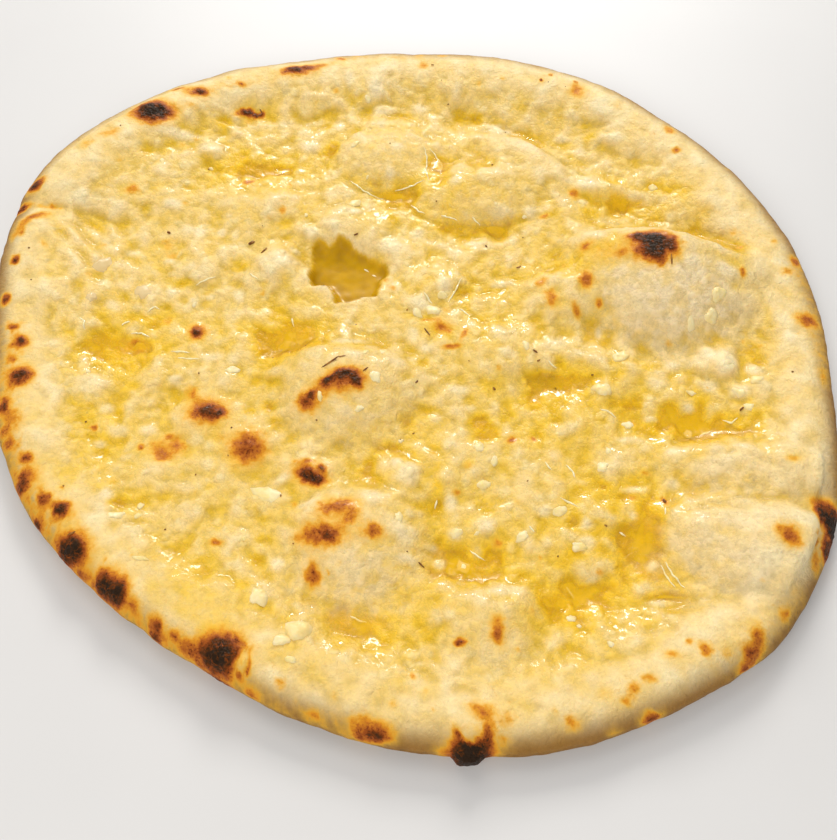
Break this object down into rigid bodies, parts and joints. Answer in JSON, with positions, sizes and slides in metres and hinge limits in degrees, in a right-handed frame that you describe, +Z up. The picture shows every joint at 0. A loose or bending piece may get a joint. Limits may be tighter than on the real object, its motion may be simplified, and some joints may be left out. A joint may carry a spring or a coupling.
{
  "type": "butter naan",
  "caption": "Round oven-baked flatbread with a puffed rim, blisters, char spots, melted butter and small bits of garlic.",
  "frame": {"origin": "middle of the box round the bread, at its underside, where it rests", "axes": "+Z up through the thin direction, +X to the right of the bread as served, +Y to its far side"},
  "size_m": [0.2828, 0.2736, 0.022],
  "materials": {
    "crust": "matt baked dough, cream to golden, with brown and black burns",
    "butter": "clear wet melted butter",
    "garlic": "pale, slightly see-through garlic",
    "char": "dry black-brown burnt flecks"
  },
  "bodies": {
    "root": {"naan": "crust"}
  },
  "joints": []
}
